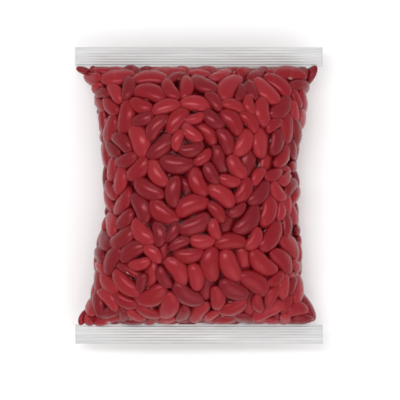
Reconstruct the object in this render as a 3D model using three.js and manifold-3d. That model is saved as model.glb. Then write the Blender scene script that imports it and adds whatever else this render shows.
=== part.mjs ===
// A clear pillow bag packed with dried red kidney beans, lying on its back on a table.
// Units are millimetres. Seen from above, +X is to the right and +Y towards the top seal, and +Z points up
// out of the front. The origin is on the table, under the middle of the bag.
//
// The film is drawn tight over the beans, so the filled part is one solid with the relief of the beans that
// press against the film. It ends in a crimped seal at the top and at the bottom. The film is a tube closed
// lengthwise by a fin seam, which is folded flat and pressed into the back.

import * as THREE from 'three';
import { ConvexHull } from 'three/addons/math/ConvexHull.js';
import Module from 'manifold-3d';

const wasm = await Module();
wasm.setup();

// Driving dimensions
const BAG_WIDTH = 140;
const BAG_LENGTH = 168;
const SEAL_DEPTH = 11;
const FRONT_RISE = 33;
const BACK_DROP = 22;
const SEAL_LEVEL = 19;
const BEAN_LENGTH = 16.5;
const SEAM_WIDTH = 12;
const GAP = 0.3;

// The filled part runs between the seals, and stops short of them by the gap that separate pieces keep.
const SEAL_EDGE = BAG_LENGTH / 2 - SEAL_DEPTH;
const FILL_HALF = SEAL_EDGE - GAP;

// The pinched outline: half the filled width to the left and right of the middle, at each station along Y.
const STATIONS = [-SEAL_EDGE, -66, -58, -46, -32, -20, -8, 6, 14, 26, 40, 52, 61, 67, SEAL_EDGE];
const LEFT_HALVES = [69, 66, 62, 59.3, 59, 55.5, 53, 54.6, 54.2, 55.2, 56.4, 58.6, 61, 65, 69];
const RIGHT_HALVES = [69, 65.5, 60.9, 58, 58, 57, 56, 57.3, 55, 56.4, 59.3, 61.4, 62.2, 65, 69];
const leftCurve = new THREE.CubicInterpolant(STATIONS, LEFT_HALVES, 1);
const rightCurve = new THREE.CubicInterpolant(STATIONS, RIGHT_HALVES, 1);

// How square the sections are across the front and the back, and how square the bag is lengthwise.
const FRONT_SQUARENESS = 2.6;
const BACK_SQUARENESS = 3.2;
const END_SQUARENESS = 5;
const END_POWER = 0.55;

// The film tube laid out flat, as a grid of points on the skin: columns round the bag and rows along it.
// A place on it is in millimetres, round the tube from the right edge and along it from the bottom seal.
const FILM_AROUND = 2 * BAG_WIDTH;
const FILM_COLUMNS = 168;
const FILM_ROWS = 96;
const CURVE_STEPS = 400;
const NORMAL_STEP = 2;

// The beans that press against the film. The second layer lies deeper, and shows between those of the first.
const SEED = 7;
const LAYERS = [
  { depth: 0, tries: 14000, apart: 0.94 },
  { depth: 1.6, tries: 7000, apart: 0.66 },
];
const DEPTH_SPREAD = 0.6;
const DEEPEST_SHARE = 0.22;
const LENGTH_SPREAD = 0.17;
const BEAN_WIDTH_SHARE = 0.56;
const BEAN_BEND_SHARE = 0.11;
const BEAN_SHOULDER = 2.2;
const BEAN_CIRCLES = [
  { place: -0.6, size: 0.86 },
  { place: 0, size: 1 },
  { place: 0.6, size: 0.86 },
];
const BEAN_RINGS = [
  { reach: 0, count: 1 },
  { reach: 0.7, count: 7 },
  { reach: 1, count: 11 },
];
const CLEAR_REACH = 1.2;
const FEWEST_POINTS = 8;

// Beans keep clear of the seals, and of the four corners where the film lies too flat for them.
const END_MARGIN = 2;
const CORNER_FULLNESS = 0.5;
const CORNER_ACROSS = 0.72;
const END_POINTS = 44;

// How far from its middle the flat film is repeated when its places are joined, as a share of its width.
const COPY_REACH = 0.7;
const UPRIGHT = 1e-6;

const RIB_COUNT = 7;
const RIB_HEIGHT = 0.28;
const RIB_STEPS = 4;
const SEAL_THICKNESS = 0.6;
const SEAL_STEPS = 12;
const SEAL_WAVE = 0.7;
const SEAL_WAVES = 1.3;

const SEAM_THICKNESS = 0.5;
const SEAM_STEPS = 32;

const BEAN_RED = new THREE.MeshStandardMaterial({ color: 0x882b2f, roughness: 0.35, metalness: 0 });
const SEAL_GREY = new THREE.MeshStandardMaterial({ color: 0xcecece, roughness: 0.4, metalness: 0.5 });
const CLEAR_FILM = new THREE.MeshStandardMaterial({ color: 0xd8c4c2, roughness: 0.2, metalness: 0 });

// A seeded random source, so that the same beans fall in the same places every time.
function randomSource(seed) {
  let state = seed;
  return () => {
    state = (state + 0x6d2b79f5) | 0;
    let t = Math.imul(state ^ (state >>> 15), 1 | state);
    t = (t + Math.imul(t ^ (t >>> 7), 61 | t)) ^ t;
    return ((t ^ (t >>> 14)) >>> 0) / 4294967296;
  };
}

// How full the bag is at y, from 0 at the seals to 1 in the middle.
function fullness(y) {
  const reach = Math.min(1, Math.abs(y) / SEAL_EDGE);
  return (1 - reach ** END_SQUARENESS) ** END_POWER;
}

// A point of the skin. The angle runs from the right edge over the front to the left edge and underneath.
// The back bulges a little below the table, and is pressed flat there afterwards.
function skinPoint(angle, y) {
  const left = leftCurve.evaluate(y)[0];
  const right = rightCurve.evaluate(y)[0];
  const front = Math.sin(angle) >= 0;
  const squareness = front ? FRONT_SQUARENESS : BACK_SQUARENESS;
  const across = Math.sign(Math.cos(angle)) * Math.abs(Math.cos(angle)) ** (2 / squareness);
  const x = (right - left) / 2 + ((right + left) / 2) * across;
  const z = SEAL_LEVEL + (front ? FRONT_RISE : BACK_DROP) * fullness(y) * Math.sin(angle);
  return new THREE.Vector3(x, y, z);
}

// Values from -1 to 1, closer together towards both ends.
const SWEEP = Array.from({ length: CURVE_STEPS + 1 }, (_, i) => -Math.cos((Math.PI * i) / CURVE_STEPS));

// Points spaced evenly by length along a line of points, with the line's length.
function evenly(line, count) {
  const lengths = [0];
  for (let i = 1; i < line.length; i++) lengths.push(lengths[i - 1] + line[i].distanceTo(line[i - 1]));
  const total = lengths[lengths.length - 1];
  const points = [];
  let at = 1;
  for (let n = 0; n < count; n++) {
    const wanted = (total * n) / (count - 1);
    while (at < line.length - 1 && lengths[at] < wanted) at++;
    const share = (wanted - lengths[at - 1]) / (lengths[at] - lengths[at - 1]);
    points.push(line[at - 1].clone().lerp(line[at], share));
  }
  return { points, total };
}

// The skin as rows of points, the rows evenly spaced along the crest and each row's points round the bag.
function filmGrid() {
  const crest = SWEEP.map((place) => skinPoint(Math.PI / 2, FILL_HALF * place));
  const { points, total } = evenly(crest, FILM_ROWS + 1);
  const rows = points.map(({ y }) => {
    const section = SWEEP.map((_, i) => skinPoint((2 * Math.PI * i) / CURVE_STEPS, y));
    return evenly(section, FILM_COLUMNS + 1).points.slice(0, FILM_COLUMNS);
  });
  return { rows, length: total };
}

const film = filmGrid();

// The point of the skin at a place on the flat film.
function filmPoint(around, along) {
  const column = THREE.MathUtils.euclideanModulo(around / FILM_AROUND, 1) * FILM_COLUMNS;
  const row = THREE.MathUtils.clamp(along / film.length, 0, 1) * FILM_ROWS;
  const [c, r] = [Math.floor(column), Math.min(Math.floor(row), FILM_ROWS - 1)];
  const next = (c + 1) % FILM_COLUMNS;
  const lower = film.rows[r][c].clone().lerp(film.rows[r][next], column - c);
  const upper = film.rows[r + 1][c].clone().lerp(film.rows[r + 1][next], column - c);
  return lower.lerp(upper, row - r);
}

// The point that lies the given depth under a place on the film.
function pointUnder({ around, along, depth }) {
  const round = filmPoint(around + NORMAL_STEP, along).sub(filmPoint(around - NORMAL_STEP, along));
  const up = filmPoint(around, along + NORMAL_STEP).sub(filmPoint(around, along - NORMAL_STEP));
  const outward = up.cross(round).normalize();
  const point = filmPoint(around, along);
  const deepest = DEEPEST_SHARE * (FRONT_RISE + BACK_DROP) * fullness(point.y);
  point.addScaledVector(outward, -Math.min(depth, deepest));
  point.z = Math.max(0, point.z);
  return point;
}

// The way between two places on the film, the shorter way round the tube.
function wayBetween(from, to) {
  const dx = to.around - from.around;
  return new THREE.Vector2(dx - FILM_AROUND * Math.round(dx / FILM_AROUND), to.along - from.along);
}

// The place on the film of a point of a bean, where u runs along it and v across it, both from -1 to 1.
function placeOn(bean, u, v) {
  const x = (u * bean.length) / 2;
  const y = bean.length * ((v * BEAN_WIDTH_SHARE) / 2 - BEAN_BEND_SHARE * u * u);
  const around = bean.around + x * Math.cos(bean.turn) - y * Math.sin(bean.turn);
  return { around, along: bean.along + x * Math.sin(bean.turn) + y * Math.cos(bean.turn) };
}

// How far a place on the film is from the middle of a bean, where 1 is the bean's outline.
function reachFrom(bean, place) {
  const way = wayBetween(bean, place).rotateAround(new THREE.Vector2(), -bean.turn);
  const u = (2 * way.x) / bean.length;
  const v = (2 * (way.y / bean.length + BEAN_BEND_SHARE * u * u)) / BEAN_WIDTH_SHARE;
  return Math.hypot(u, v);
}

// True if two beans come closer than a share of their widths. Three circles along a bean stand for it.
function tooClose(a, b, share) {
  if (wayBetween(a, b).length() > BEAN_LENGTH * (1 + LENGTH_SPREAD)) return false;
  const crowded = (p, q) => wayBetween(p, q).length() < share * (p.radius + q.radius);
  return a.circles.some((p) => b.circles.some((q) => crowded(p, q)));
}

function inCorner({ around, along }) {
  const point = filmPoint(around, along);
  return fullness(point.y) < CORNER_FULLNESS && Math.abs(point.x) > (CORNER_ACROSS * BAG_WIDTH) / 2;
}

// The beans, scattered over the flat film by seeded draws, layer by layer.
function scatterBeans() {
  const random = randomSource(SEED);
  const beans = [];
  for (const { depth, tries, apart } of LAYERS) {
    for (let n = 0; n < tries; n++) {
      const bean = {
        around: FILM_AROUND * random(),
        along: END_MARGIN + (film.length - 2 * END_MARGIN) * random(),
        turn: 2 * Math.PI * random(),
        length: BEAN_LENGTH * (1 + LENGTH_SPREAD * (2 * random() - 1)),
        depth: depth + DEPTH_SPREAD * random(),
      };
      bean.circles = BEAN_CIRCLES.map(({ place, size }) => {
        return { ...placeOn(bean, place, 0), radius: (size * bean.length * BEAN_WIDTH_SHARE) / 2 };
      });
      if (!beans.some((other) => tooClose(bean, other, apart))) beans.push(bean);
    }
  }
  return beans;
}

// The places on the film, with their depths, that carry a bean's relief where no earlier bean covers it.
function beanPlaces(bean, earlier) {
  const places = [];
  for (const { reach, count } of BEAN_RINGS) {
    for (let i = 0; i < count; i++) {
      const angle = (2 * Math.PI * i) / count;
      const place = placeOn(bean, reach * Math.cos(angle), reach * Math.sin(angle));
      if (place.along < END_MARGIN || place.along > film.length - END_MARGIN || inCorner(place)) continue;
      if (earlier.some((other) => reachFrom(other, place) < CLEAR_REACH)) continue;
      const around = THREE.MathUtils.euclideanModulo(place.around, FILM_AROUND);
      const depth = bean.depth + BEAN_SHOULDER * (1 - Math.sqrt(1 - reach * reach));
      places.push({ around, along: place.along, depth });
    }
  }
  return places.length < FEWEST_POINTS ? [] : places;
}

// The triangles that join places on the tube to their neighbours. The places are lifted onto a bowl, whose
// lower hull gives the triangles, with copies past both edges of the flat film so that they close round it.
function joinPlaces(places) {
  const lifted = [];
  places.forEach(({ around, along }, index) => {
    for (const shift of [-1.5, -0.5, 0.5]) {
      const x = around + shift * FILM_AROUND;
      const y = along - film.length / 2;
      const point = new THREE.Vector3(x, y, (x * x + y * y) / FILM_AROUND);
      point.index = index;
      if (Math.abs(x) < COPY_REACH * FILM_AROUND) lifted.push(point);
    }
  });
  const faces = [];
  for (const { edge, normal } of new ConvexHull().setFromPoints(lifted).faces) {
    const corners = [edge.tail().point, edge.head().point, edge.next.head().point];
    const middle = (corners[0].x + corners[1].x + corners[2].x) / 3;
    const inside = middle >= -FILM_AROUND / 2 && middle < FILM_AROUND / 2;
    if (inside && normal.z < -UPRIGHT) faces.push(corners.map((corner) => corner.index));
  }
  return faces;
}

// The filled part: the relief wrapped onto the skin, and closed by a thin flat end at each seal.
function filledGeometry() {
  const beans = scatterBeans();
  const places = beans.flatMap((bean, order) => beanPlaces(bean, beans.slice(0, order)));
  const first = places.length;
  for (let i = 0; i < END_POINTS; i++) {
    const around = (FILM_AROUND * i) / END_POINTS;
    places.push({ around, along: 0, depth: 0 }, { around, along: film.length, depth: 0 });
  }
  const faces = joinPlaces(places);
  for (let i = 1; i + 1 < END_POINTS; i++) {
    const [a, b, c] = [first, first + 2 * i, first + 2 * i + 2];
    faces.push([a, b, c], [a + 1, c + 1, b + 1]);
  }
  return new THREE.BufferGeometry().setFromPoints(places.map(pointUnder)).setIndex(faces.flat());
}

// A closed surface through rings of points. A ring's second half runs back opposite its first half, and each
// end is closed like a ladder between the two.
function loft(rings) {
  const count = rings[0].length;
  const last = (rings.length - 1) * count;
  const faces = [];
  for (let i = 0; i < count; i++) {
    const next = (i + 1) % count;
    for (let r = 0; r < last; r += count) {
      faces.push(r + i, r + next, r + next + count, r + i, r + next + count, r + i + count);
    }
  }
  for (let i = 0; i + 1 < count / 2; i++) {
    const [next, opposite, beyond] = [i + 1, count - 1 - i, count - 2 - i];
    faces.push(next, i, opposite, next, opposite, beyond);
    faces.push(last + i, last + next, last + opposite, last + next, last + beyond, last + opposite);
  }
  return new THREE.BufferGeometry().setFromPoints(rings.flat()).setIndex(faces);
}

// A closed geometry with shared vertices as a solid that can be cut, and a solid as a geometry again.
function solidOf(geometry) {
  const vertProperties = geometry.attributes.position.array;
  const triVerts = new Uint32Array(geometry.index.array);
  return new wasm.Manifold(new wasm.Mesh({ numProp: 3, vertProperties, triVerts }));
}

function geometryOf(solid) {
  const mesh = solid.getMesh();
  const positions = new THREE.BufferAttribute(mesh.vertProperties, 3);
  return new THREE.BufferGeometry().setAttribute('position', positions).setIndex([...mesh.triVerts]);
}

// A strip along the middle of the back, from end to end, between two depths under the skin.
function backStrip(width, end, outer, inner) {
  const line = evenly(SWEEP.map((place) => skinPoint(-Math.PI / 2, end * place)), SEAM_STEPS + 1).points;
  const rings = line.map((point, i) => {
    const behind = line[Math.max(i - 1, 0)];
    const ahead = line[Math.min(i + 1, SEAM_STEPS)];
    const along = new THREE.Vector2(ahead.y - behind.y, ahead.z - behind.z).normalize();
    const corner = (side, depth) => {
      const z = Math.max(depth, point.z + depth * along.x);
      return new THREE.Vector3((side * width) / 2, point.y - depth * along.y, z);
    };
    return [corner(-1, inner), corner(1, inner), corner(1, outer), corner(-1, outer)];
  });
  return loft(rings);
}

// A crimped seal: two films pressed together into ribs that run across the bag, a little wavy along them.
function sealGeometry(direction) {
  const ribs = RIB_COUNT * RIB_STEPS;
  const rings = [];
  for (let s = 0; s <= SEAL_STEPS; s++) {
    const share = s / SEAL_STEPS;
    const face = (side) =>
      Array.from({ length: ribs + 1 }, (_, i) => {
        const out = i / ribs;
        const wave = SEAL_WAVE * out * Math.sin(2 * Math.PI * SEAL_WAVES * share + direction);
        const rib = RIB_HEIGHT * Math.cos((2 * Math.PI * i) / RIB_STEPS);
        const y = direction * (SEAL_EDGE + SEAL_DEPTH * out);
        const z = SEAL_LEVEL + wave + rib + (side * SEAL_THICKNESS) / 2;
        return new THREE.Vector3(BAG_WIDTH * (share - 0.5), y, z);
      });
    const ring = [...face(1), ...face(-1).reverse()];
    rings.push(direction > 0 ? ring.reverse() : ring);
  }
  return loft(rings);
}

function named(name, geometry, material) {
  const mesh = new THREE.Mesh(geometry, material);
  mesh.name = name;
  return mesh;
}

const seam = backStrip(SEAM_WIDTH, FILL_HALF - GAP, 0, SEAM_THICKNESS);
const groove = solidOf(backStrip(SEAM_WIDTH + 2 * GAP, FILL_HALF, -BEAN_SHOULDER, SEAM_THICKNESS + GAP));
const filled = solidOf(filledGeometry()).subtract(groove);

const bag = new THREE.Group();
bag.name = 'bean_bag';
bag.add(named('filled_bag', geometryOf(filled), BEAN_RED));
bag.add(named('top_seal', sealGeometry(1), SEAL_GREY));
bag.add(named('bottom_seal', sealGeometry(-1), SEAL_GREY));
bag.add(named('back_seam', seam, CLEAR_FILM));

export default bag;
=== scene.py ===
# A clear pillow bag packed with dried red kidney beans, lying on its back on a pale table.
# Lengths are in metres, in the frame of the CAD model: +X right, +Y towards the top seal and
# +Z up out of the front.

import math

import bpy
import numpy as np
from mathutils import Matrix, Vector
from mathutils.bvhtree import BVHTree


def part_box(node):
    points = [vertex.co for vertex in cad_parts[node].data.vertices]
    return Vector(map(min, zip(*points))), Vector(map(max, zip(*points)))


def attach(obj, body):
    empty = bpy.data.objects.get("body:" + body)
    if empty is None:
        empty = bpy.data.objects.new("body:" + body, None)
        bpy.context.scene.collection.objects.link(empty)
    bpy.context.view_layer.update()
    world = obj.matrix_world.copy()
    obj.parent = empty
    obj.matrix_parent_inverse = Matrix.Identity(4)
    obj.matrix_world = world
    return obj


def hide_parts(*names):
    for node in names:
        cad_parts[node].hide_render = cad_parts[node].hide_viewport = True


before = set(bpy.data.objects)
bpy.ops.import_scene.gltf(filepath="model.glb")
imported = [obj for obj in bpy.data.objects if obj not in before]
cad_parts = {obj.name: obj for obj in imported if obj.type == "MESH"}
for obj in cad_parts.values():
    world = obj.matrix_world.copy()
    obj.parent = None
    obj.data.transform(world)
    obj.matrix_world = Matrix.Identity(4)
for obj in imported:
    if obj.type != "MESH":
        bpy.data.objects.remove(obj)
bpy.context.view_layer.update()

MM = 0.001

# The bag: the size of its seals comes from the frame, and the film rises and drops from the seals' level
SEAL_LOW, SEAL_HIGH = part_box("top_seal")
BAG_WIDTH = SEAL_HIGH.x - SEAL_LOW.x
SEAL_EDGE = SEAL_LOW.y
SEAL_DEPTH = SEAL_HIGH.y - SEAL_LOW.y
SEAL_LEVEL = 19 * MM
FRONT_RISE = 33 * MM
BACK_DROP = 22 * MM

# The pinched outline: half the filled width to the left and right of the middle, at stations along Y
STATIONS = np.array([-73, -66, -58, -46, -32, -20, -8, 6, 14, 26, 40, 52, 61, 67, 73]) * MM
LEFT_HALVES = np.array([69, 66, 62, 59.3, 59, 55.5, 53, 54.6, 54.2, 55.2, 56.4, 58.6, 61, 65, 69]) * MM
RIGHT_HALVES = np.array([69, 65.5, 60.9, 58, 58, 57, 56, 57.3, 55, 56.4, 59.3, 61.4, 62.2, 65, 69]) * MM

# The tight skin: a squarish oval across the bag, with a height that falls off towards the seals
FRONT_SQUARENESS = 2.6
BACK_SQUARENESS = 3.2
END_SQUARENESS = 5
END_POWER = 0.55
LEAST_FULLNESS = 0.02
GAUGE_STEP = 0.2 * MM
SKIN_SAMPLES = 1200
SKIN_REACH_SHARE = 0.9999

# The beans, with widths, thicknesses and bends as shares of their length
SEED = 11
BEAN_COUNT = 700
BEAN_LENGTH = 17 * MM
LENGTH_SPREAD = 0.3
BEAN_WIDTH_SHARE = 0.58
BEAN_THICKNESS_SHARE = 0.36
BEAN_BEND_SHARE = 0.07

# How a bean differs from those shares, and how much fatter one end is than the other
WIDTH_RANGE = (0.94, 1.06)
THICKNESS_RANGE = (0.98, 1.1)
BEND_RANGE = (0.6, 1.5)
EGG_RANGE = (-0.08, 0.08)

# A bean's surface: rings between two blunt tips, and a hollow in the middle of one long side
BEAN_RINGS = 14
BEAN_SIDES = 16
TIP_BLUNTNESS = 0.46
FLAT_SIDE_POWER = 0.96
BEND_CENTRE = 0.35
HOLLOW_DEPTH_SHARE = 0.035
HOLLOW_LENGTH_SHARE = 0.3
HOLLOW_ANGLE = 0.9

# A bean is eight balls while the beans are packed: place along, place across, and size
BALLS = np.array([
    (-0.66, 0.0, 0.88),
    (-0.34, 0.32, 0.95), (-0.34, -0.32, 0.95),
    (0.0, 0.38, 1.0), (0.0, -0.38, 1.0),
    (0.34, 0.32, 0.95), (0.34, -0.32, 0.95),
    (0.66, 0.0, 0.88),
])

# Where the beans start. A distance out of the skin counts more than one along it, because they lie flat.
FIRST_LAYER = 3.2 * MM
DEEPEST_BEAN = 15 * MM
START_SPACING = 8.1 * MM
STACK_SHARE = 1.75
START_ROUNDS = 400
TRIES_A_ROUND = 400
START_TILT = 0.3
NEARLY_UPRIGHT = 0.9

# The packing: the beans grow while they are pulled and shaken less and less
PACK_STEPS = 260
GROW_STEPS = 120
SETTLE_STEPS = 40
START_SIZE = 0.5
OUTWARD_PULL = 0.28 * MM
LAST_PULL_SHARE = 0.1
PULL_FREE_DEPTH = 3 * MM
PULL_BUILD_UP = 4 * MM
END_PULL = 0.15 * MM
LAY_FLAT = 0.16
LAY_FLAT_DEPTH = 12 * MM
SHAKE = 0.3 * MM

# How balls that touch are found and pushed apart
PAIRS_EVERY = 4
PAIR_REACH_RADII = 2.2
PAIR_ROOM = 0.5 * MM
HIT_WEIGHT = 0.5
PUSH_SHARE = 1.3
NEVER_ZERO = 1e-9

# Room between the beans and what holds them
TABLE_CLEARANCE = 0.4 * MM
SEAL_CLEARANCE = 0.1 * MM
OVERFILL = 0.6 * MM
BEAN_OVER_TABLE = 0.15 * MM
SEAM_HALF_WIDTH = 6 * MM
SEAM_ROOM = 0.65 * MM

# The core inside the beans
CORE_ROWS = 60
CORE_COLUMNS = 90
CORE_DEPTH = 8 * MM
CORE_ROOM_SHARE = 0.38
CORE_LOWEST = 7 * MM
CORE_END = 0.8 * MM
CORE_SIDE = 7 * MM

# The film
FILM_COLUMNS = 300
FILM_ROWS = 190
FILM_CLEARANCE = 0.3 * MM
FILM_START_DEPTH = 0.5 * MM
FILM_PULL = 0.02 * MM
FILM_STEPS = 260
FILM_ROOM_SHARE = 0.4
DEEPEST_FILM = 6 * MM
FILM_OVER_TABLE = 0.05 * MM
RAY_LIFT = 8 * MM
LEAST_AREA = 1e-12

# The puckers that gather the film next to the seals
PUCKER_LENGTHS = (5.6 * MM, 8.9 * MM, 3.7 * MM)
PUCKER_HEIGHT = 1.6 * MM
PUCKER_REACH = 11 * MM
PUCKER_START = 2 * MM
PUCKER_SHARPNESS = 1.5
GATHER_GLOSS = 0.12

# The seals
RIB_COUNT = 7
RIB_SAMPLES = 8
RIB_HEIGHT = 0.15 * MM
SEAL_THICKNESS = 0.6 * MM
SEAL_COLUMNS = 160
SEAL_WAVE = 1.2 * MM
SEAL_WAVES = 1.3

# The tones of the beans: the share of the beans that has it, its shade and a lighter shade
BEAN_TONES = {
    "beans_light": (0.34, (0.226, 0.008, 0.012), (0.268, 0.013, 0.018)),
    "beans_middle": (0.34, (0.185, 0.003, 0.006), (0.226, 0.006, 0.010)),
    "beans_dark": (0.32, (0.132, 0.002, 0.005), (0.168, 0.004, 0.007)),
}

# How far a bean goes from its shade to the lighter one, and how much further its mottles go
TONE_RANGE = (-0.25, 0.6)
MOTTLE_SHARE = 0.35

# The other colours, and how quickly the film's gloss grows towards its edges
SCAR_COLOUR = (0.42, 0.22, 0.19)
COAT_GLINT = (1, 0.28, 0.33)
CORE_COLOUR = (0.25, 0.009, 0.013)
# The colour of the painted shade in the gaps between the core's bean-like cells
CORE_PAINTED_SHADE = (0.13, 0.004, 0.006)
HAZE_COLOUR = (0.9, 0.88, 0.88)
SEAL_DARK = (0.54, 0.54, 0.54)
SEAL_LIGHT = (0.67, 0.67, 0.67)
FLOOR_COLOUR = (0.97, 0.97, 0.97)
EDGE_GLOSS_POWER = 4

# The floor, a hair under the bag so that no two faces lie in one plane
FLOOR_HALF = 1.6
FLOOR_LEVEL = -0.1 * MM

# The lights: the white all round, and softboxes with their place, width, height and watts
WORLD_STRENGTH = 0.86
LIGHT_TARGET = (0, 0, 0.03)
SOFTBOXES = {
    "key": ((-0.3, 0.26, 1.3), 0.8, 0.24, 4.8),
    "fill": ((0.4, -0.9, 1.2), 1.2, 1.2, 5),
}

# The camera
IMAGE_PIXELS = 400
METRES_PER_PIXEL = 0.5668 * MM
OBJECT_RIGHT_PIXELS = -1.0
OBJECT_UP_PIXELS = 4.5
CAMERA_HEIGHT = 2.2
CAMERA_SIGHT = 20
SENSOR_MM = 36

random = np.random.default_rng(SEED)


# Shape of the bag

def curve_through(values):
    """A smooth curve through the values at the stations."""
    slopes = np.empty(len(values))
    slopes[1:-1] = (values[2:] - values[:-2]) / (STATIONS[2:] - STATIONS[:-2])
    slopes[0] = (values[1] - values[0]) / (STATIONS[1] - STATIONS[0])
    slopes[-1] = (values[-1] - values[-2]) / (STATIONS[-1] - STATIONS[-2])

    def at(y):
        i = np.clip(np.searchsorted(STATIONS, y) - 1, 0, len(values) - 2)
        width = STATIONS[i + 1] - STATIONS[i]
        t = np.clip((y - STATIONS[i]) / width, 0, 1)
        start = (1 + 2 * t) * (1 - t) ** 2 * values[i] + t * (1 - t) ** 2 * width * slopes[i]
        end = t ** 2 * (3 - 2 * t) * values[i + 1] - t ** 2 * (1 - t) * width * slopes[i + 1]
        return start + end

    return at


left_half = curve_through(LEFT_HALVES)
right_half = curve_through(RIGHT_HALVES)


def fullness(y):
    """How full the bag is at y, from 0 at the seals to 1 in the middle."""
    reach = np.minimum(1, np.abs(y) / SEAL_EDGE)
    return (1 - reach ** END_SQUARENESS) ** END_POWER


def skin_point(angle, y):
    """A point of the tight skin. The angle runs from the right edge over the front."""
    left, right = left_half(y), right_half(y)
    front = np.sin(angle) >= 0
    squareness = np.where(front, FRONT_SQUARENESS, BACK_SQUARENESS)
    across = np.sign(np.cos(angle)) * np.abs(np.cos(angle)) ** (2 / squareness)
    rise = np.where(front, FRONT_RISE, BACK_DROP) * fullness(y)
    x = (right - left) / 2 + (right + left) / 2 * across
    return np.stack([x, np.broadcast_to(y, x.shape), SEAL_LEVEL + rise * np.sin(angle)], axis=-1)


def gauge(points):
    """Under 1 inside the skin, 1 on it and over 1 outside."""
    x, y, z = points[..., 0], points[..., 1], points[..., 2]
    left, right = left_half(y), right_half(y)
    front = z >= SEAL_LEVEL
    across = np.abs(x - (right - left) / 2) / ((right + left) / 2)
    rise = np.where(front, FRONT_RISE, BACK_DROP) * np.maximum(fullness(y), LEAST_FULLNESS)
    up = np.abs(z - SEAL_LEVEL) / rise
    return np.sqrt(across ** np.where(front, FRONT_SQUARENESS, BACK_SQUARENESS) + up ** 2)


def skin_depth(points):
    """How deep points lie under the skin, and the way out."""
    here = gauge(points)
    slope = np.empty_like(points)
    for axis in range(3):
        shift = np.zeros(3)
        shift[axis] = GAUGE_STEP
        slope[..., axis] = (gauge(points + shift) - gauge(points - shift)) / (2 * GAUGE_STEP)
    steepness = np.linalg.norm(slope, axis=-1) + NEVER_ZERO
    return (1 - here) / steepness, slope / steepness[..., None]


def over_seam(points, margin):
    """Whether points lie in the lower half of the bag, over the back seam or within a margin of it."""
    return (np.abs(points[..., 0]) < SEAM_HALF_WIDTH + margin) & (points[..., 2] < SEAL_LEVEL)


def lengths_along(points):
    """The length of a line of points up to each of them."""
    return np.concatenate([[0], np.cumsum(np.linalg.norm(np.diff(points, axis=0), axis=1))])


def even_line(points, count):
    """Points spaced evenly by length along a line of points."""
    lengths = lengths_along(points)
    wanted = np.linspace(0, lengths[-1], count)
    return np.stack([np.interp(wanted, lengths, points[:, axis]) for axis in range(3)], axis=-1)


def skin_grid(rows, columns):
    """The skin as rows of points, spaced evenly along the crest and evenly round the bag."""
    sweep = -np.cos(np.linspace(0, np.pi, SKIN_SAMPLES))
    crest = even_line(skin_point(np.pi / 2, SEAL_EDGE * SKIN_REACH_SHARE * sweep), rows + 1)
    angles = np.linspace(0, 2 * np.pi, SKIN_SAMPLES)
    grid = [even_line(skin_point(angles, y), columns + 1)[:-1] for y in crest[:, 1]]
    return np.array(grid)


def grid_normals(grid):
    """Outward normals of a grid of points that closes round the bag."""
    up = np.gradient(grid, axis=0)
    round_bag = np.roll(grid, -1, axis=1) - np.roll(grid, 1, axis=1)
    normals = np.cross(up, round_bag)
    return normals / (np.linalg.norm(normals, axis=-1, keepdims=True) + LEAST_AREA)


def tube_faces(rows, columns):
    """The faces of a grid of points that closes round the bag."""
    faces = []
    for r in range(rows):
        for c in range(columns):
            d = (c + 1) % columns
            faces.append((r * columns + c, (r + 1) * columns + c, (r + 1) * columns + d, r * columns + d))
    return faces


# Packing the beans

def turns_onto(normals, spins, tilts):
    """A rotation for each bean that lays its flat side on a normal, spun about it and a little tilted."""
    helper = np.where(np.abs(normals[:, 2:3]) < NEARLY_UPRIGHT, [[0, 0, 1.0]], [[1.0, 0, 0]])
    first = np.cross(helper, normals)
    first /= np.linalg.norm(first, axis=1, keepdims=True)
    second = np.cross(normals, first)
    along = first * np.cos(spins)[:, None] + second * np.sin(spins)[:, None]
    up = normals * np.cos(tilts)[:, None] + along * np.sin(tilts)[:, None]
    along = along * np.cos(tilts)[:, None] - normals * np.sin(tilts)[:, None]
    return np.stack([along, np.cross(up, along), up], axis=-1)


def starting_places():
    """Places for the beans near the skin, with room for each to lie flat along it."""
    places, ups = np.empty((0, 3)), np.empty((0, 3))
    low = np.array([-BAG_WIDTH / 2, -SEAL_EDGE, 0])
    high = np.array([BAG_WIDTH / 2, SEAL_EDGE, SEAL_LEVEL + FRONT_RISE])
    for _ in range(START_ROUNDS):
        tries = low + (high - low) * random.random((TRIES_A_ROUND, 3))
        depth, outward = skin_depth(tries)
        inside = (depth > FIRST_LAYER) & (depth < DEEPEST_BEAN) & (tries[:, 2] > FIRST_LAYER)
        for place, up in zip(tries[inside], outward[inside]):
            way = places - place
            rise = np.sum(way * (ups + up) / 2, axis=1)
            spacing = np.sum(way ** 2, axis=1) + (STACK_SHARE ** 2 - 1) * rise ** 2
            if len(places) == 0 or spacing.min() > START_SPACING ** 2:
                places, ups = np.vstack([places, place]), np.vstack([ups, up])
                if len(places) == BEAN_COUNT:
                    return places
    return places


def ball_shapes(lengths):
    """The balls of each bean around its middle, and their radii."""
    shape = np.zeros((len(lengths), len(BALLS), 3))
    shape[:, :, 0] = BALLS[:, 0] * lengths[:, None] / 2
    shape[:, :, 1] = BALLS[:, 1] * BEAN_WIDTH_SHARE * lengths[:, None] / 2
    shape[:, :, 1] -= BEAN_BEND_SHARE * lengths[:, None] * BALLS[:, 0] ** 2
    shape -= shape.mean(axis=1, keepdims=True)
    thickness = BEAN_THICKNESS_SHARE * lengths / 2
    return shape, BALLS[:, 2] * thickness[:, None]


def drift(places, depth, outward, unrest):
    """The beans' places, pulled towards the skin and the edges and shaken. Unrest falls from 1 to 0."""
    pull = OUTWARD_PULL * np.clip((depth - PULL_FREE_DEPTH) / PULL_BUILD_UP, 0, 1)
    places = places + outward * pull[:, None] * (LAST_PULL_SHARE + (1 - LAST_PULL_SHARE) * unrest)
    places[:, :2] += END_PULL * unrest * places[:, :2] / (BAG_WIDTH / 2)
    return places + random.normal(0, SHAKE * unrest ** 2, places.shape)


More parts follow.
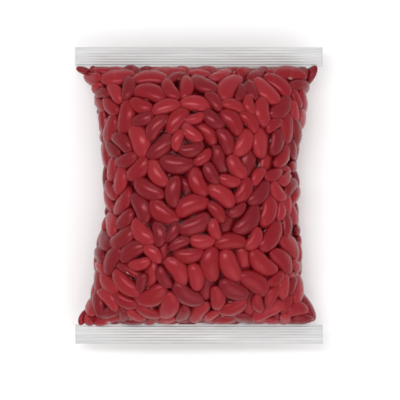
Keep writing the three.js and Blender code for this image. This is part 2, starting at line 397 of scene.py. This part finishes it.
def lean_flat(turns, depth, outward):
    """A small turn for each bean that brings its flat side round to the skin, the stronger the nearer."""
    flat_axis = turns[:, :, 2]
    facing = np.sign(np.sum(flat_axis * outward, axis=1, keepdims=True))
    strength = LAY_FLAT * np.clip(2 - 2 * depth / LAY_FLAT_DEPTH, 0, 1)
    return np.cross(flat_axis, outward * facing) * strength[:, None]


def close_pairs(points, reach):
    """All pairs of points that lie within reach, found through a grid of cells."""
    cells = np.floor((points - points.min(axis=0)) / reach).astype(np.int64) + 1
    size = cells.max(axis=0) + 2
    keys = cells[:, 0] + size[0] * (cells[:, 1] + size[1] * cells[:, 2])
    order = np.argsort(keys, kind="stable")
    ordered = keys[order]
    firsts, seconds = [], []
    for dz in (-1, 0, 1):
        for dy in (-1, 0, 1):
            for dx in (-1, 0, 1):
                wanted = keys + dx + size[0] * (dy + size[1] * dz)
                start = np.searchsorted(ordered, wanted, "left")
                count = np.searchsorted(ordered, wanted, "right") - start
                first = np.repeat(np.arange(len(points)), count)
                within = np.arange(len(first)) - np.repeat(np.cumsum(count) - count, count)
                second = order[np.repeat(start, count) + within]
                keep = first < second
                firsts.append(first[keep])
                seconds.append(second[keep])
    first, second = np.concatenate(firsts), np.concatenate(seconds)
    near = np.sum((points[first] - points[second]) ** 2, axis=1) < reach ** 2
    return first[near], second[near]


def push_apart(balls, radius, first, second):
    """The balls, with the pairs that overlap pushed apart. A ball with many hits moves less for each."""
    way = balls[first] - balls[second]
    distance = np.linalg.norm(way, axis=1) + NEVER_ZERO
    overlap = radius[first] + radius[second] - distance
    touching = overlap > 0
    push = way[touching] * (0.5 * overlap[touching] / distance[touching])[:, None]
    moved = np.zeros_like(balls)
    hits = np.ones(len(balls))
    np.add.at(moved, first[touching], push)
    np.add.at(moved, second[touching], -push)
    np.add.at(hits, first[touching], HIT_WEIGHT)
    np.add.at(hits, second[touching], HIT_WEIGHT)
    return balls + moved / hits[:, None] * PUSH_SHARE


def hold_inside(balls, radius):
    """The balls, brought back under the skin, above the table and the back seam, and between the seals."""
    depth, outward = skin_depth(balls)
    by_seam = over_seam(balls, radius)
    spare = np.where(by_seam, -SEAM_ROOM, OVERFILL)
    balls = balls - outward * np.maximum(0, radius - depth - spare)[:, None]
    balls[:, 2] = np.maximum(balls[:, 2], radius + TABLE_CLEARANCE + np.where(by_seam, SEAM_ROOM, 0))
    far_end = SEAL_EDGE - SEAL_CLEARANCE - radius
    balls[:, 1] = np.clip(balls[:, 1], -far_end, far_end)
    return balls


def fitted_turns(arms, shape):
    """The rotation of each bean that best brings its shape onto the arms to its balls."""
    spread = np.einsum("bki,bkj->bij", arms, shape)
    left, _, right = np.linalg.svd(spread)
    flip = np.sign(np.linalg.det(left @ right))
    left[:, :, 2] *= flip[:, None]
    return left @ right


def pack_beans():
    """Grows the beans from small to full size while they push each other apart and out against the skin."""
    places = starting_places()
    count = len(places)
    lengths = BEAN_LENGTH * (1 + LENGTH_SPREAD * random.uniform(-1, 1, count))
    _, outward = skin_depth(places)
    spins = random.uniform(0, 2 * math.pi, count)
    tilts = random.uniform(-START_TILT, START_TILT, count)
    turns = turns_onto(outward, spins, tilts)
    shape, radii = ball_shapes(lengths)
    owner = np.repeat(np.arange(count), len(BALLS))

    for step in range(PACK_STEPS):
        grown = min(1, START_SIZE + (1 - START_SIZE) * step / GROW_STEPS)
        unrest = max(0, 1 - step / (PACK_STEPS - SETTLE_STEPS))
        depth, outward = skin_depth(places)
        places = drift(places, depth, outward, unrest)
        lean = lean_flat(turns, depth, outward)
        arms = np.einsum("bij,bkj->bki", turns, shape * grown)
        balls = (places[:, None] + arms + np.cross(lean[:, None], arms)).reshape(-1, 3)
        radius = (radii * grown).reshape(-1)
        if step % PAIRS_EVERY == 0:
            first, second = close_pairs(balls, PAIR_REACH_RADII * radius.max() + PAIR_ROOM)
            apart = owner[first] != owner[second]
            first, second = first[apart], second[apart]
        balls = push_apart(balls, radius, first, second)
        balls = hold_inside(balls, radius).reshape(count, len(BALLS), 3)
        places = balls.mean(axis=1)
        turns = fitted_turns(balls - places[:, None], shape)

    return places, turns, lengths


def bean_points(length):
    """A kidney bean's points: its length along X, its hollow side towards -Y, its flat sides facing Z.

    They run from tip to tip in rings, and each tip is one point.
    """
    width = BEAN_WIDTH_SHARE * random.uniform(*WIDTH_RANGE)
    thickness = BEAN_THICKNESS_SHARE * random.uniform(*THICKNESS_RANGE)
    bend = BEAN_BEND_SHARE * random.uniform(*BEND_RANGE)
    egg = random.uniform(*EGG_RANGE)
    place = -np.cos(np.pi * np.arange(BEAN_RINGS + 1) / BEAN_RINGS)[:, None]
    angle = (2 * np.pi * np.arange(BEAN_SIDES) / BEAN_SIDES)[None, :]
    girth = np.maximum(0, 1 - place ** 2) ** TIP_BLUNTNESS * (1 + egg * place)
    x = np.broadcast_to(place * length / 2, (BEAN_RINGS + 1, BEAN_SIDES))
    y = width * length / 2 * girth * np.cos(angle) - bend * length * (place ** 2 - BEND_CENTRE)
    beside = np.abs(angle - np.pi)
    hollow = np.exp(-(place / HOLLOW_LENGTH_SHARE) ** 2) * np.exp(-(beside / HOLLOW_ANGLE) ** 2)
    y = y + HOLLOW_DEPTH_SHARE * length * hollow
    z = thickness * length / 2 * girth ** FLAT_SIDE_POWER * np.sin(angle)
    grid = np.stack([x, y, z], axis=-1)
    return np.vstack([grid[0, 0], grid[1:-1].reshape(-1, 3), grid[-1, 0]])


def bean_faces():
    """The faces of one bean: a fan at each tip, and quads between the rings."""
    faces = []
    last = 1 + (BEAN_RINGS - 1) * BEAN_SIDES
    for i in range(BEAN_SIDES):
        j = (i + 1) % BEAN_SIDES
        faces.append((0, 1 + j, 1 + i))
        faces.append((last, last - BEAN_SIDES + i, last - BEAN_SIDES + j))
        for ring in range(BEAN_RINGS - 2):
            a = 1 + ring * BEAN_SIDES
            faces.append((a + i, a + j, a + BEAN_SIDES + j, a + BEAN_SIDES + i))
    return faces


def repeated_faces(faces, points_each, count):
    """The faces of one thing repeated for as many things as follow each other in a list of points."""
    return [[points_each * n + k for k in face] for n in range(count) for face in faces]


# Materials

def new_material(name):
    """A new material, and its main shader."""
    material = bpy.data.materials.new(name)
    material.use_nodes = True
    return material, material.node_tree.nodes["Principled BSDF"]


def set_inputs(material, node, inputs):
    """Sets each input to a value, or links it where it is given another node's output."""
    for name, value in inputs.items():
        if isinstance(value, bpy.types.NodeSocket):
            material.node_tree.links.new(value, node.inputs[name])
        else:
            node.inputs[name].default_value = value


def add_node(material, kind, inputs):
    """A new node of a kind, with its inputs set."""
    node = material.node_tree.nodes.new(kind)
    set_inputs(material, node, inputs)
    return node


def place_on(material):
    """The place on the object, for patterns that stay on it."""
    return add_node(material, "ShaderNodeTexCoord", {}).outputs["Object"]


def point_value(material, name):
    """A number that the mesh keeps at each of its points."""
    node = add_node(material, "ShaderNodeAttribute", {})
    node.attribute_name = name
    return node.outputs["Fac"]


def calculated(material, operation, *values):
    """A number worked out from up to three others."""
    node = add_node(material, "ShaderNodeMath", {})
    node.operation = operation
    set_inputs(material, node, dict(enumerate(values)))
    return node.outputs[0]


def mixed_colour(material, share, first, second):
    """The first colour, with a share of the second."""
    node = add_node(material, "ShaderNodeMix", {})
    node.data_type = "RGBA"
    set_inputs(material, node, {"Factor": share, "A": first, "B": second})
    return node.outputs["Result"]


def ramp_colour(material, value, start, end):
    """A colour that follows a value from one stop to the other. A stop is a value and its colour."""
    node = add_node(material, "ShaderNodeValToRGB", {"Fac": value})
    for stop, (position, colour) in zip(node.color_ramp.elements, (start, end)):
        stop.position = position
        stop.color = (*colour, 1)
    return node.outputs["Color"]


def bean_material(name, shade, light_shade):
    """A bean's glossy seed coat: a little different on each bean, faintly mottled and finely wrinkled."""
    material, shader = new_material(name)
    place = place_on(material)
    mottle = add_node(material, "ShaderNodeTexNoise", {"Vector": place, "Scale": 260, "Detail": 4})
    tone = point_value(material, "bean_tone")
    lighter = calculated(material, "MULTIPLY_ADD", mottle.outputs["Fac"], MOTTLE_SHARE, tone)
    coat = mixed_colour(material, lighter, (*shade, 1), (*light_shade, 1))
    scar = add_node(material, "ShaderNodeMapRange", {
        "Value": point_value(material, "bean_scar"),
        "From Min": 0.4,
        "From Max": 0.6,
    })
    wrinkle = add_node(material, "ShaderNodeTexNoise", {"Vector": place, "Scale": 900})
    bump = add_node(material, "ShaderNodeBump", {
        "Height": wrinkle.outputs["Fac"],
        "Strength": 0.12,
        "Distance": 0.3 * MM,
    })
    set_inputs(material, shader, {
        "Base Color": mixed_colour(material, scar.outputs["Result"], coat, (*SCAR_COLOUR, 1)),
        "Normal": bump.outputs["Normal"],
        "Roughness": 0.25,
        "Specular IOR Level": 0.65,
        "Specular Tint": (*COAT_GLINT, 1),
    })
    return material


def core_material():
    """What shows between the beans: rounded red shapes like the beans further in, with painted shade in the
    gaps between them.
    """
    material, shader = new_material("bean_core")
    cells = add_node(material, "ShaderNodeTexVoronoi", {"Vector": place_on(material), "Scale": 105})
    distance = cells.outputs["Distance"]
    bump = add_node(material, "ShaderNodeBump", {"Height": distance, "Distance": 3 * MM})
    bump.invert = True
    set_inputs(material, shader, {
        # Each cell darkens to painted shade at its edges, standing in for the shade between deeper beans
        "Base Color": ramp_colour(material, distance, (0.25, CORE_COLOUR), (0.68, CORE_PAINTED_SHADE)),
        "Normal": bump.outputs["Normal"],
        "Roughness": 0.4,
    })
    return material


def film_material(name, gloss, edge_gloss, haze):
    """Thin clear film: see-through, with a gloss that grows towards its edges and a trace of haze.

    Where the mesh keeps no gathers, as on the back seam, they count as nought.
    """
    material, shader = new_material(name)
    nodes = material.node_tree.nodes
    nodes.remove(shader)
    ripples = add_node(material, "ShaderNodeTexNoise", {"Vector": place_on(material), "Scale": 90})
    bump = add_node(material, "ShaderNodeBump", {
        "Height": ripples.outputs["Fac"],
        "Strength": 0.25,
        "Distance": 0.4 * MM,
    })
    edge = add_node(material, "ShaderNodeLayerWeight", {"Blend": 0.5})
    steep = calculated(material, "POWER", edge.outputs["Facing"], EDGE_GLOSS_POWER)
    smooth_gloss = calculated(material, "MULTIPLY_ADD", steep, edge_gloss, gloss)
    gather = point_value(material, "film_gather")
    whole_gloss = calculated(material, "MULTIPLY_ADD", gather, GATHER_GLOSS, smooth_gloss)
    clear = add_node(material, "ShaderNodeBsdfTransparent", {})
    milky = add_node(material, "ShaderNodeBsdfDiffuse", {"Color": (*HAZE_COLOUR, 1)})
    shine = add_node(material, "ShaderNodeBsdfGlossy", {
        "Roughness": 0.09,
        "Normal": bump.outputs["Normal"],
    })
    veil = add_node(material, "ShaderNodeMixShader", {
        0: haze,
        1: clear.outputs["BSDF"],
        2: milky.outputs["BSDF"],
    })
    film = add_node(material, "ShaderNodeMixShader", {
        0: whole_gloss,
        1: veil.outputs["Shader"],
        2: shine.outputs["BSDF"],
    })
    set_inputs(material, nodes["Material Output"], {"Surface": film.outputs["Shader"]})
    return material


def seal_material():
    """Satin silver-grey film, brushed by the crimping jaws."""
    material, shader = new_material("silver_seal")
    stretch = add_node(material, "ShaderNodeMapping", {
        "Vector": place_on(material),
        "Scale": (30, 400, 30),
    })
    brushing = add_node(material, "ShaderNodeTexNoise", {
        "Vector": stretch.outputs["Vector"],
        "Scale": 1,
        "Detail": 3,
    })
    set_inputs(material, shader, {
        "Base Color": ramp_colour(material, brushing.outputs["Fac"], (0.3, SEAL_DARK), (0.75, SEAL_LIGHT)),
        "Metallic": 0.15,
        "Roughness": 0.42,
    })
    return material


def floor_material():
    """A plain pale floor."""
    material, shader = new_material("pale_floor")
    set_inputs(material, shader, {"Base Color": (*FLOOR_COLOUR, 1), "Roughness": 0.9})
    return material


# Building the pieces

def new_object(name, points, faces, material):
    """A smooth mesh object that rides with the bag."""
    mesh = bpy.data.meshes.new(name)
    mesh.from_pydata(np.asarray(points).tolist(), [], faces)
    mesh.polygons.foreach_set("use_smooth", [True] * len(mesh.polygons))
    mesh.materials.append(material)
    thing = bpy.data.objects.new(name, mesh)
    bpy.context.scene.collection.objects.link(thing)
    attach(thing, "root")
    return thing


def keep_values(thing, name, values):
    """Keeps a number at each point of a mesh, for its material."""
    kept = thing.data.attributes.new(name, "FLOAT", "POINT")
    kept.data.foreach_set("value", values)


def build_beans():
    """A mesh of beans for each tone. Gives a tree that finds the beans by rays."""
    places, turns, lengths = pack_beans()
    shares = [share for share, _, _ in BEAN_TONES.values()]
    chosen = random.choice(len(BEAN_TONES), size=len(places), p=shares)
    beans = []
    for place, turn, length in zip(places, turns, lengths):
        points = bean_points(length) @ turn.T + place
        points[:, 2] += max(0, BEAN_OVER_TABLE - points[:, 2].min())
        beans.append(points)
    faces = bean_faces()
    per_bean = len(beans[0])
    scar = np.zeros(per_bean)
    scar[1 + (BEAN_RINGS // 2 - 1) * BEAN_SIDES + BEAN_SIDES // 2] = 1

    for tone, (name, (_, shade, light_shade)) in enumerate(BEAN_TONES.items()):
        members = [beans[i] for i in np.flatnonzero(chosen == tone)]
        count = len(members)
        every = repeated_faces(faces, per_bean, count)
        piece = new_object(name, np.vstack(members), every, bean_material(name, shade, light_shade))
        keep_values(piece, "bean_tone", np.repeat(random.uniform(*TONE_RANGE, count), per_bean))
        keep_values(piece, "bean_scar", np.tile(scar, count))
        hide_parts("filled_bag")

    return BVHTree.FromPolygons(np.vstack(beans).tolist(), repeated_faces(faces, per_bean, len(beans)))


def build_core():
    """A solid inside the outer layers of beans, so that no light comes through between them. It is painted
    as deeper beans, with painted shade between them.
    """
    grid = skin_grid(CORE_ROWS, CORE_COLUMNS)
    limit = CORE_ROOM_SHARE * (FRONT_RISE + BACK_DROP) * fullness(grid[..., 1])
    depth = np.minimum(CORE_DEPTH, limit)
    grid = grid - grid_normals(grid) * depth[..., None]
    y = grid[..., 1]
    grid[..., 2] = np.maximum(grid[..., 2], CORE_LOWEST * np.minimum(1, fullness(y) * 2))
    grid[..., 0] = np.clip(grid[..., 0], CORE_SIDE - left_half(y), right_half(y) - CORE_SIDE)
    grid[..., 1] = np.clip(y, CORE_END - SEAL_EDGE, SEAL_EDGE - CORE_END)
    faces = tube_faces(CORE_ROWS, CORE_COLUMNS)
    faces.append(tuple(range(CORE_COLUMNS)))
    faces.append(tuple(CORE_ROWS * CORE_COLUMNS + c for c in range(CORE_COLUMNS))[::-1])
    core = new_object("bean_core", grid.reshape(-1, 3), faces, core_material())
    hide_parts("filled_bag")


def depth_to_beans(grid, normals, tree):
    """How far each point of the skin can be drawn in before the film lies on a bean."""
    reach = RAY_LIFT + DEEPEST_FILM + FILM_CLEARANCE
    starts = (grid + normals * RAY_LIFT).reshape(-1, 3)
    ways = -normals.reshape(-1, 3)
    allowed = np.full(len(starts), DEEPEST_FILM)
    for i, (start, way) in enumerate(zip(starts, ways)):
        _, _, _, distance = tree.ray_cast(Vector(start), Vector(way), reach)
        if distance is not None:
            allowed[i] = distance - RAY_LIFT - FILM_CLEARANCE
    room = FILM_ROOM_SHARE * (FRONT_RISE + BACK_DROP) * fullness(grid[..., 1])
    return np.minimum(allowed.reshape(grid.shape[:2]), room)


def drawn_tight(allowed):
    """How deep the film lies once it is drawn in as far as allowed, bridging the gaps between the beans."""
    depth = np.minimum(allowed, FILM_START_DEPTH)
    for _ in range(FILM_STEPS):
        padded = np.vstack([depth[:1], depth, depth[-1:]])
        around = (padded[:-2] + padded[2:] + np.roll(depth, 1, axis=1) + np.roll(depth, -1, axis=1)) / 4
        depth = np.minimum(allowed, around + FILM_PULL)
        depth[0] = depth[-1] = 0
    return depth


def puckers(grid):
    """Small gathers that run from the seals into the film, as a share of their full height."""
    crest = grid[:, grid.shape[1] // 4]
    along = lengths_along(crest)
    from_end = np.minimum(along, along[-1] - along)[:, None]
    high = np.zeros(grid.shape[:2])
    for length in PUCKER_LENGTHS:
        for side in (-1, 1):
            phase = random.uniform(0, 2 * math.pi) + np.where(grid[..., 2] > SEAL_LEVEL, 0, math.pi / 2)
            wave = np.sin(2 * math.pi * grid[..., 0] / length + phase)
            high += np.where(grid[..., 1] * side > 0, wave, 0)
    high = np.maximum(0, high / len(PUCKER_LENGTHS)) ** PUCKER_SHARPNESS
    return high * np.exp(-from_end / PUCKER_REACH) * (1 - np.exp(-from_end / PUCKER_START))


def build_film(tree):
    """The clear film: the skin drawn in until it lies on the beans, and gathered next to the seals."""
    grid = skin_grid(FILM_ROWS, FILM_COLUMNS)
    normals = grid_normals(grid)
    by_seam = over_seam(grid, FILM_CLEARANCE)
    depth = drawn_tight(np.where(by_seam, SEAM_ROOM, depth_to_beans(grid, normals, tree)))
    gathers = puckers(grid)
    depth = np.where(by_seam, SEAM_ROOM, depth - PUCKER_HEIGHT * gathers)
    grid = grid - normals * depth[..., None]
    grid[..., 2] = np.maximum(grid[..., 2], np.where(by_seam, SEAM_ROOM, FILM_OVER_TABLE))
    material = film_material("clear_film", gloss=0.0025, edge_gloss=0.03, haze=0.0005)
    film = new_object("clear_film", grid.reshape(-1, 3), tube_faces(FILM_ROWS, FILM_COLUMNS), material)
    keep_values(film, "film_gather", gathers.reshape(-1))
    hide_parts("filled_bag")


def seal_faces(samples, count):
    """The faces of a seal: a band of rings along the bag's width, and a strip of quads at each end."""
    faces = []
    for r in range(SEAL_COLUMNS):
        for i in range(count):
            j = (i + 1) % count
            faces.append((r * count + i, r * count + j, (r + 1) * count + j, (r + 1) * count + i))
    last = SEAL_COLUMNS * count
    for i in range(samples):
        far, beyond = count - 1 - i, count - 2 - i
        faces.append((i + 1, i, far, beyond))
        faces.append((last + i, last + i + 1, last + beyond, last + far))
    return faces


def build_seal(name, direction):
    """A crimped seal: two films pressed into ribs that run across the bag, a little wavy along them."""
    samples = RIB_COUNT * RIB_SAMPLES
    out = np.arange(samples + 1) / samples
    share = np.arange(SEAL_COLUMNS + 1) / SEAL_COLUMNS
    share, out = np.meshgrid(share, out, indexing="ij")
    wave = SEAL_WAVE * out * np.sin(2 * np.pi * SEAL_WAVES * share + direction)
    rib = RIB_HEIGHT * np.cos(2 * np.pi * RIB_COUNT * out)
    x = BAG_WIDTH * (share - 0.5)
    y = direction * (SEAL_EDGE + SEAL_DEPTH * out)
    middle = SEAL_LEVEL + wave + rib
    top = np.stack([x, y, middle + SEAL_THICKNESS / 2], axis=-1)
    bottom = np.stack([x, y, middle - SEAL_THICKNESS / 2], axis=-1)[:, ::-1]
    rings = np.concatenate([top, bottom], axis=1)
    faces = seal_faces(samples, rings.shape[1])
    if direction > 0:
        faces = [face[::-1] for face in faces]
    seal = new_object(name + "_film", rings.reshape(-1, 3), faces, seal_material())
    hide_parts(name)


def dress_seam():
    """The back seam keeps its CAD mesh and gets the film's look, a little glossier and cloudier."""
    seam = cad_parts["back_seam"]
    seam.data.materials.clear()
    seam.data.materials.append(film_material("seam_film", gloss=0.015, edge_gloss=0.06, haze=0.03))


# Stage, lights and camera

def build_stage():
    """The floor, and white light from all round."""
    mesh = bpy.data.meshes.new("floor")
    signs = ((-1, -1), (1, -1), (1, 1), (-1, 1))
    corners = [(x * FLOOR_HALF, y * FLOOR_HALF, FLOOR_LEVEL) for x, y in signs]
    mesh.from_pydata(corners, [], [(0, 1, 2, 3)])
    mesh.materials.append(floor_material())
    floor = bpy.data.objects.new("floor", mesh)
    bpy.context.scene.collection.objects.link(floor)
    world = bpy.data.worlds.new("studio")
    world.use_nodes = True
    background = world.node_tree.nodes["Background"]
    background.inputs["Color"].default_value = (1, 1, 1, 1)
    background.inputs["Strength"].default_value = WORLD_STRENGTH
    bpy.context.scene.world = world
    bpy.context.scene.view_settings.view_transform = "Standard"


def add_softbox(name, place, width, height, watts):
    """A rectangular light that faces the bag, with its width level."""
    light = bpy.data.lights.new(name, "AREA")
    light.shape = "RECTANGLE"
    light.size = width
    light.size_y = height
    light.energy = watts
    lamp = bpy.data.objects.new(name, light)
    lamp.location = place
    back = (Vector(place) - Vector(LIGHT_TARGET)).normalized()
    side = (Vector((1, 0, 0)) - back * back.x).normalized()
    lamp.rotation_euler = Matrix((side, back.cross(side), back)).transposed().to_euler()
    bpy.context.scene.collection.objects.link(lamp)


def build_camera():
    """A camera straight above, with the bag in the photo's place and scale."""
    data = bpy.data.cameras.new("camera")
    camera = bpy.data.objects.new("camera", data)
    bpy.context.scene.collection.objects.link(camera)
    right = OBJECT_RIGHT_PIXELS * METRES_PER_PIXEL
    up = OBJECT_UP_PIXELS * METRES_PER_PIXEL
    camera.location = (-right, -up, CAMERA_HEIGHT)
    data.sensor_width = SENSOR_MM
    data.lens = data.sensor_width * (CAMERA_HEIGHT - SEAL_LEVEL) / (IMAGE_PIXELS * METRES_PER_PIXEL)
    data.clip_end = CAMERA_SIGHT
    bpy.context.scene.camera = camera


build_stage()
build_camera()
for lamp_name, (lamp_place, lamp_width, lamp_height, lamp_watts) in SOFTBOXES.items():
    add_softbox(lamp_name, lamp_place, lamp_width, lamp_height, lamp_watts)
bean_tree = build_beans()
build_core()
build_film(bean_tree)
build_seal("top_seal", 1)
build_seal("bottom_seal", -1)
dress_seam()
